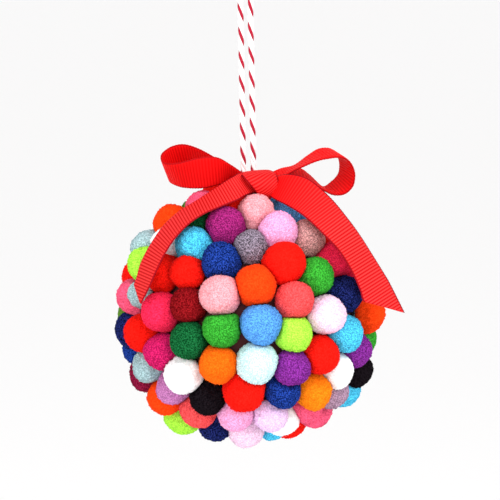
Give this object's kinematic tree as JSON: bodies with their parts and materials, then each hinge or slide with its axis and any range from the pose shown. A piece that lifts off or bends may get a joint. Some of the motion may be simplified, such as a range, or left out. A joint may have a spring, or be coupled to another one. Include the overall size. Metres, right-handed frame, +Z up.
{
  "type": "hanging pompom ball ornament with ribbon bow and twine loop",
  "caption": "Ball covered all over in small round pompoms of many colours, hung by a twisted twine loop, with a red grosgrain ribbon bow tied at its top.",
  "frame": {"origin": "inside top of the twine loop, where a hook carries the ornament", "axes": "+Z up along the hanging twine, +X to the right and -Y towards the viewer in the picture's view"},
  "size_m": [0.0828, 0.0788, 0.1475],
  "materials": {
    "pompom_pile": "short dense pile, each pompom in one of many bright colours",
    "grosgrain_ribbon": "ribbed red grosgrain with a fine picot edge",
    "cotton_twine": "matte white plies with one red ply"
  },
  "bodies": {
    "root": {"pompom_ball": "pompom_pile", "ribbon_bow": "grosgrain_ribbon", "twine": "cotton_twine"}
  },
  "joints": []
}
